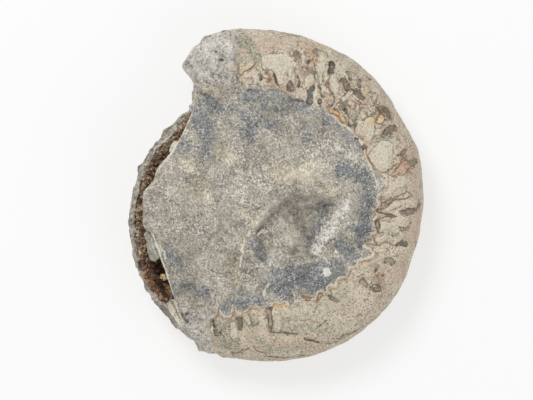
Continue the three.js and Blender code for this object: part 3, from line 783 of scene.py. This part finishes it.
# The grey rock over the coil: warm grey with a dense light and dark speckle, blue-grey where fresh.
speckle = blend((dust, 0.66), (fine, 0.45), (patchy, 0.3), (broad, 0.5))
warm_rock = shades(
    speckle, (0.22, (86, 82, 76)), (0.38, (131, 125, 115)), (0.5, (162, 156, 145)), (0.62, (190, 183, 169)),
    (0.78, (229, 221, 203)),
)
blue_rock = shades(
    speckle, (0.22, (70, 73, 77)), (0.38, (100, 103, 105)), (0.5, (126, 127, 127)), (0.62, (158, 158, 154)),
    (0.78, (210, 208, 200)),
)
blueness = blend((mark("blue"), 1.0), (drift, 1.6), (flecked, 1.2))
rock_colour = lime.mix(warm_rock, blue_rock, step(blueness, 0.35, 0.85))
at_rock = frayed("rock", 1.4)
on_rock = step(at_rock, -0.15, 0.15)
lay(rock_colour, on_rock)
# Pale mauve, which on the lower right slope of the pit also paints a highlight.
mauve = shades(speckle, (0.25, (130, 124, 119)), (0.5, (186, 179, 172)), (0.75, (226, 221, 215)))
lay(mauve, on_rock, step(blend((mark("mauve"), 1.3), (drift, 1.2), (fine, 1.0)), 0.6, 1.3), 0.85)
cream = shades(
    speckle, (0.25, (132, 122, 102)), (0.42, (178, 167, 144)), (0.55, (206, 195, 172)),
    (0.75, (236, 228, 208)),
)
lay(cream, step(blend((mark("cream"), 1.1), (flecked, 1.4), (drift, 1.4)), 0.3, 1.3), 0.85)
# Chalk-white patches, partly painted highlight on the lit slope of the pit.
lay((226, 225, 216), step(blend((mark("chalk_and_highlight"), 1.0), (dust, 2.2), (fine, 1.6)), 0.6, 1.5), 0.9)
bare_rock = lime.maths("MULTIPLY_ADD", step(blueness, 0.3, 0.8), -0.4, 1.0)
bright = blend((grit, 0.8), (dust, 0.6), (drift, 0.6))
lay((238, 234, 220), on_rock, bare_rock, step(bright, 0.60, 0.70), 0.75)
lay((84, 83, 81), on_rock, step(blend((grit, 1.0), (flecked, 0.6), (patchy, 0.5)), 0.36, 0.24), 0.55)
lay((128, 124, 108), on_rock, step(drift, 0.45, 0.36), 0.32)

# The suture line round the rock: an orange-brown band outside it, a thin pale rim, and a painted shadow, a
# dark grey band on the rock where its edge is not crisp.
# Each row: colour, where the band begins and ends, sharp or soft side, what breaks it up, strength.
crisp = mark("crisp")
not_crisp = lime.maths("SUBTRACT", 1.0, crisp)
for colour, begins, ends, side, broken_by, strength in (
    ((170, 138, 108), (-1.4, -1.0), (0.0, -0.4), crisp, (patchy, 0.4, 0.56), 0.7),
    ((118, 96, 77), (-1.8, -1.5), (-1.0, -1.3), crisp, (blotchy, 0.4, 0.54), 0.7),
    ((214, 190, 152), (-1.0, -0.6), (0.1, -0.3), crisp, (flecked, 0.45, 0.6), 0.7),
    ((228, 221, 205), (-0.45, -0.1), (0.6, 0.25), crisp, (blotchy, 0.3, 0.44), 0.9),
    # Painted shadow along the rock's edge where it is not crisp.
    ((84, 82, 80), (-0.6, 0.2), (1.0, 0.4), not_crisp, (blotchy, 0.44, 0.6), 0.6),
):
    lay(colour, step(at_rock, *begins), step(at_rock, *ends), side, step(*broken_by), strength)

# Rough stone at the snout and at the lower left.
rough_rock = shades(
    blend((dust, 0.9), (fine, 0.9), (patchy, 0.6), (broad, 0.3)), (0.2, (92, 90, 85)),
    (0.36, (152, 149, 142)), (0.5, (188, 185, 177)), (0.64, (210, 207, 200)), (0.8, (234, 232, 226)),
)
broken = lime.maths("MAXIMUM", mark("rough"), mark("end"))
roughness = step(blend((broken, 1.0), (blotchy, 1.0)), 0.25, 0.8)
lay(rough_rock, roughness)
lay((198, 182, 166), roughness, step(blotchy, 0.46, 0.58), step(dust, 0.4, 0.6), 0.6)
lay((96, 94, 88), roughness, step(flecked, 0.40, 0.33), 0.5)
lay((160, 164, 165), roughness, step(drift, 0.46, 0.6), 0.2)

# Pale saddles, then the fillings of the pockets, then the lines.
saddle = frayed("saddle", 2.0)
pale_fill = shades(mottle, (0.2, (172, 162, 143)), (0.5, (201, 192, 173)), (0.8, (220, 213, 196)))
lay(pale_fill, step(saddle, 0.4, -0.4), 0.85)
lay((104, 88, 72), step(saddle, -0.35, -0.05), step(saddle, 0.4, 0.15),
    step(blotchy, 0.42, 0.56), 0.65)

pocket = frayed("pocket", 2.6)
in_pocket = step(pocket, 0.35, -0.25)
fill = shades(
    mark("filling"), (0.0, (56, 48, 42)), (0.12, (98, 100, 103)), (0.22, (100, 90, 80)),
    (0.34, (128, 116, 101)), (0.46, (158, 145, 127)), (0.58, (194, 162, 140)), (0.66, (182, 140, 100)),
    (0.8, (218, 194, 158)),
)
lay(fill, in_pocket, 0.9)
lay((206, 196, 178), in_pocket, step(flecked, 0.54, 0.64), 0.5)
lay((74, 64, 55), in_pocket, step(blend((fine, 1.0), (dust, 0.6)), 0.45, 0.3), 0.6)
lay((76, 62, 51), step(pocket, -0.7, -0.2), step(pocket, 0.5, 0.1), step(blotchy, 0.4, 0.54), 0.7)

lines = frayed("line", 1.0)
line_colour = shades(
    mark("line_tint"), (0.0, (38, 32, 30)), (0.2, (92, 80, 70)), (0.45, (140, 120, 102)),
    (0.7, (176, 149, 129)), (0.9, (176, 138, 106)),
)
lay(line_colour, step(lines, 0.34, -0.18), step(ragged, 0.34, 0.46), 0.82)
lay((224, 216, 194), step(frayed("pale_line", 1.2), 0.7, 0.3), step(blotchy, 0.36, 0.5), 0.8)

# Stains, and painted shade: the dark zones hold the shade in the pit over the middle of the coil.
stain_and_shade = shades(speckle, (0.25, (50, 49, 44)), (0.5, (82, 80, 73)), (0.75, (142, 138, 126)))
lay(stain_and_shade, step(blend((mark("dark"), 1.0), (flecked, 1.8), (drift, 1.4), (dust, 1.0)), 0.3, 1.3), 0.72)
lay((216, 178, 120), step(blend((mark("gold"), 1.0), (flecked, 1.8)), 0.5, 1.1), 0.75)
# Painted shade: darker where the pockets and lines are sunk deepest.
lay((66, 54, 45), step(mark("sunk"), 0.35, 1.0), 0.22)
lay((112, 92, 75), step(frayed("venter", 1.2), 0.75, 0.25), step(blotchy, 0.42, 0.54), 0.65)

# The broken side: dull brown-grey shell wall, rust-brown in the channel, and white shell on the edge.
beyond = step(mark("break"), 0.1, 0.5)
wall_colour = shades(
    blend((dust, 0.7), (fine, 0.9), (patchy, 0.7)), (0.2, (80, 74, 68)), (0.38, (134, 127, 117)),
    (0.52, (168, 162, 151)), (0.72, (206, 199, 188)),
)
height = lime.node("SeparateXYZ", Vector=lime.place).outputs["Z"]
ragged_height = lime.maths("MULTIPLY_ADD", blotchy, 0.02, height)
lay(wall_colour, beyond, step(ragged_height, 0.022, 0.031))
lay((132, 116, 98), beyond, step(flecked, 0.48, 0.6), step(patchy, 0.44, 0.56), 0.5)
lay((122, 104, 88), beyond, step(mark("channel"), -1.6, 0.2), step(flecked, 0.4, 0.55), 0.5)
lay((100, 91, 81), beyond, step(mark("channel"), -2.2, -3.8), step(ragged_height, 0.026, 0.034), 0.4)
lay((62, 42, 30), step(mark("channel"), -0.5, 0.3), step(height, 0.0225, 0.019), 0.85)
lay((214, 208, 192), step(frayed("shell", 1.1), 0.35, -0.1), step(fine, 0.30, 0.42), 0.95)

limestone = lime.done(0.9, 0.25, speckle, 0.5)
stone.data.materials.clear()
stone.data.materials.append(limestone)

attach(stone, "root")
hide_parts("ammonite")


# --- The calcite crystals ------------------------------------------------------------------------
# Rust-stained calcite that grew as a crust of blunt crystals in the channel between the broken flank
# and the outer shell wall. They are grown on to the floor and to one another.
CRYSTALS = 3400
SEED = 7
TRIES = 40000  # places tried, of which the first that lie in the channel are taken
LEFT_FRONT, RIGHT_BACK = (-69, -53), (-40, 41)  # corners of the area that holds the channel
CRUST_TOP = 24.6
BIG_TOP = 23.6
CHANNEL_WIDTH = 7
WALL_START = 15  # from this point on, the channel's outline follows the shell wall
# The big ones: place, size, and place on the colours, from near-black painted shade as in a hollow to a
# pale gold painted highlight.
BIG_CRYSTALS = [
    (-54.4, -38.6, 1.5, 1), (-53.6, -40, 1.3, 0.95), (-55.2, -39.6, 1.2, 0.8), (-50.9, -47.8, 1.4, 1.05),
    (-57.4, -36, 2.6, 0.05), (-58.6, -39.6, 2.8, 0.02), (-55.8, -43.6, 2.6, 0.06),
    (-57.6, -46.2, 2.4, 0.28), (-54.6, -46.4, 2.4, 0.08), (-60, -42.2, 2, 0.34),
    (-60.6, -36.6, 2.2, 0.38), (-55.4, -49, 1.8, 0.3), (-59.4, -33.6, 2.2, 0.14),
    (-50.2, 21.8, 1.8, 0.14), (-53, 20.4, 2, 0.1), (-45.2, 30.4, 1.5, 0.14), (-55.2, 17.8, 1.8, 0.2),
    (-62.4, -38.8, 1.8, 0.5), (-52.6, -49.4, 1.6, 0.45),
]

# One blunt crystal: a long cube with five of its corners and edges broken off.
bpy.ops.mesh.primitive_cube_add(size=1)
crystal = bpy.context.object
bpy.ops.object.mode_set(mode="EDIT")
bpy.ops.transform.resize(value=(0.8, 1.0, 1.25))
for corner in ((0.5, 0.45, 0.7), (-0.6, 0.4, 0.5), (0.3, -0.8, 0.4), (-0.2, -0.4, -0.9), (0.9, 0.1, -0.3)):
    bpy.ops.mesh.select_all(action="SELECT")
    bpy.ops.mesh.bisect(
        plane_co=[0.62 * c for c in corner], plane_no=corner, use_fill=True, clear_outer=True
    )
bpy.ops.mesh.select_all(action="SELECT")
bpy.ops.mesh.normals_make_consistent(inside=False)
bpy.ops.object.mode_set(mode="OBJECT")
shape = places_of(crystal) / 1000
faces = [list(face.vertices) for face in crystal.data.polygons]
bpy.data.objects.remove(crystal)

chance = np.random.default_rng(SEED)
wall_line = channel_plan[WALL_START:]
spots = chance.uniform(LEFT_FRONT, RIGHT_BACK, (TRIES, 2))
spots = spots[ring_distance(*spots.T, channel_plan) > 0.1][:CRYSTALS]
coarse = ease(-spots[:, 1], 26, 34)
sizes = chance.uniform(0.55, 1.35, len(spots)) * (1 + 0.6 * coarse)
reach = np.clip(line_distance(*spots.T, wall_line) / CHANNEL_WIDTH, 0, 1)
tops = CRUST_TOP - (3.6 + 2.2 * coarse) * reach + chance.uniform(-1.2, 0.8, len(spots))
# Each crystal's place on the calcite colours: random, and darker the farther it stands from the wall, where
# the crust sits lower.
tints_and_painted_light = chance.uniform(0.05, 1.0, len(spots)) * (1 - 0.3 * reach) * (1 - 0.2 * coarse) - 0.08 * coarse
dull = (1 - coarse) * ease(-reach, -0.6, -0.1) * chance.uniform(0.1, 1.0, len(spots))
for x1, y1, size, tint in BIG_CRYSTALS:
    spots = np.vstack((spots, (x1, y1)))
    sizes, tints_and_painted_light, dull = np.append(sizes, size), np.append(tints_and_painted_light, tint), np.append(dull, 0)
    tops = np.append(tops, BIG_TOP)
many_places = []
many_faces = []
for (x1, y1), size, top in zip(spots, sizes, tops):
    turn = Euler(chance.uniform(0, 6.28, 3)).to_matrix()
    stretch = size * chance.uniform(0.7, 1.4, 3)
    start = len(shape) * len(many_places)
    many_places.append((shape * stretch) @ np.array(turn).T + (x1, y1, top - 0.4 * size))
    many_faces += [[start + v for v in face] for face in faces]

mesh = bpy.data.meshes.new("crystals")
mesh.from_pydata((np.vstack(many_places) / 1000).tolist(), [], many_faces)
crystals = bpy.data.objects.new("crystals", mesh)
bpy.context.collection.objects.link(crystals)
put_mark(crystals, "tint", np.repeat(tints_and_painted_light, len(shape)))
put_mark(crystals, "dull", np.repeat(dull, len(shape)))
calcite = Finish("rusty calcite")
tint = calcite.blend((calcite.mark("tint"), 1.0), (calcite.grain(2.2, 3, 0.6, 1.0), 1.2))
# The colours run from near-black painted shade, through rust browns, to pale gold painted highlights.
calcite.colour = calcite.shades(
    tint, (0.0, (40, 24, 19)), (0.25, (78, 54, 43)), (0.45, (114, 84, 62)), (0.65, (148, 113, 80)),
    (0.85, (186, 152, 114)), (1.0, (232, 206, 164)),
)
calcite.lay(calcite.shades(tint, (0.1, (84, 74, 64)), (0.8, (152, 142, 126))), calcite.mark("dull"), 0.8)
crystals.data.materials.append(calcite.done(0.42, 0.5, calcite.grain(0.8, 2, 0.6), 0.15))
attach(crystals, "root")


# --- The broken shell plates ---------------------------------------------------------------------
# Pieces of the inner shell wall still standing in the channel: smooth, thin, curved plates of
# greenish-grey shell with pale edges. Each stands where it broke, cemented to the stone.

# Name, paleness, corners along the high side and then along the low side, in millimetres.
PLATES = [
    ("side_plate", 0.55,
     [(-61.6, -16.6, 32.6), (-59.2, -19.8, 33), (-57.8, -24.6, 33.2), (-56.2, -30.2, 33.2)],
     [(-62.6, -19, 26.5), (-61.8, -24, 26), (-60.6, -30.2, 26), (-58, -32, 26.6)]),
    ("upper_plate", 1.1,
     [(-46.6, 25.4, 32.6), (-47.6, 23.8, 32.6), (-48.8, 22.2, 32.4), (-50.2, 20.4, 32)],
     [(-47.9, 25.6, 28.4), (-48.9, 24.4, 28), (-49.9, 22.8, 28), (-51.2, 20.6, 28.6)]),
    ("wall_plate", 0.9,
     [(-50.2, 28.8, 24.8), (-52.6, 26.9, 25.2), (-55.8, 24.4, 25.2), (-59.2, 21.2, 24.8)],
     [(-49.8, 27.8, 23.4), (-52.2, 25.7, 23.2), (-55.2, 23.2, 23.2), (-58.4, 20.2, 23.4)]),
]
PLATE_THICKNESS = 1.1
EDGE_ROUNDING = 0.3
shell_paint = Finish("greenish shell")
shell_tone = shell_paint.blend(
    (shell_paint.grain(3.5, 3, 0.6, 2.0), 1.0), (shell_paint.grain(0.9, 2, 0.6, 5.0), 0.9),
    (shell_paint.mark("paleness"), 0.35),
)
shell_paint.colour = shell_paint.shades(
    shell_tone, (0.15, (92, 92, 84)), (0.33, (128, 128, 117)), (0.5, (160, 159, 146)),
    (0.7, (204, 200, 184)),
)
shell_finish = shell_paint.done(0.7, 0.35, shell_tone, 0.2)
for name, paleness, high, low in PLATES:
    bpy.ops.mesh.primitive_grid_add(x_subdivisions=len(high) - 1, y_subdivisions=1, size=1)
    plate = bpy.context.object
    plate.name = name
    order = sorted(plate.data.vertices, key=lambda v: (-v.co.y, v.co.x))
    for vertex, corner in zip(order, high + low):
        vertex.co = Vector(corner) / 1000
    shape_with("SUBSURF", subdivision_type="SIMPLE", levels=3, render_levels=3)
    shape_with("SOLIDIFY", thickness=PLATE_THICKNESS / 1000, offset=0)
    shape_with("BEVEL", width=EDGE_ROUNDING / 1000, segments=2)
    places = places_of(plate)
    put_places(plate, places + 0.35 * wander(places, 2.2, 5))
    put_mark(plate, "paleness", np.full(len(places), paleness))
    bpy.ops.object.mode_set(mode="EDIT")
    bpy.ops.mesh.select_all(action="SELECT")
    bpy.ops.mesh.normals_make_consistent(inside=False)
    bpy.ops.object.mode_set(mode="OBJECT")
    bpy.ops.object.shade_smooth()
    plate.data.materials.append(shell_finish)
    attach(plate, "root")


# --- The table, the light and the camera --------------------------------------------------------
# A pale glowing table top, two wide soft lights over it, and the camera straight above the stone.
TABLE_WIDTH = 8
TABLE_TOP = -0.0002  # a hair below the stone, so that the two faces don't lie in one plane
bpy.ops.mesh.primitive_plane_add(size=TABLE_WIDTH, location=(0, 0, TABLE_TOP))
table = bpy.context.object
table.name = "table"
bpy.ops.object.transform_apply(location=True, rotation=False, scale=False)
white = Finish("white table")
for name, value in (
    ("Base Color", (0.32, 0.32, 0.32, 1)), ("Roughness", 1.0), ("Specular IOR Level", 0.0),
    ("Emission Color", (1, 1, 1, 1)), ("Emission Strength", 0.63),
):
    white.shader.inputs[name].default_value = value
table.data.materials.append(white.material)

# The room gives less light than it shows to the camera.
ROOM_LIGHT = 0.56
ROOM_SEEN = 0.94
world = bpy.data.worlds.new("studio")
bpy.context.scene.world = world
world.use_nodes = True
background = world.node_tree.nodes["Background"].inputs
background["Color"].default_value = (1, 1, 1, 1)
seen = world.node_tree.nodes.new("ShaderNodeLightPath")
strength = world.node_tree.nodes.new("ShaderNodeMapRange")
strength.inputs["To Min"].default_value = ROOM_LIGHT
strength.inputs["To Max"].default_value = ROOM_SEEN
world.node_tree.links.new(seen.outputs["Is Camera Ray"], strength.inputs["Value"])
world.node_tree.links.new(strength.outputs["Result"], background["Strength"])

# The main light stands at the upper left and a weaker, wider one at the lower right.
for location, width, power in (((-0.5, 0.75, 1.2), 0.6, 11), ((0.9, -0.8, 0.8), 1.2, 5)):
    bpy.ops.object.light_add(type="AREA", location=location)
    light = bpy.context.object
    light.data.shape = "DISK"
    light.data.size = width
    light.data.energy = power
    light.rotation_euler = (-light.location).to_track_quat("-Z", "Y").to_euler()

CAMERA_PLACE = (-0.0048, -0.0024, 1.52)
SENSOR_WIDTH = 36
VIEW_DISTANCE = 1.5
VIEW_WIDTH = 0.2558  # what the camera sees from side to side at that distance
bpy.ops.object.camera_add(location=CAMERA_PLACE, rotation=(0, 0, 0))
camera = bpy.context.object
camera.data.lens = SENSOR_WIDTH * VIEW_DISTANCE / VIEW_WIDTH
camera.data.clip_end = 20
bpy.context.scene.camera = camera
bpy.context.scene.view_settings.view_transform = "Standard"
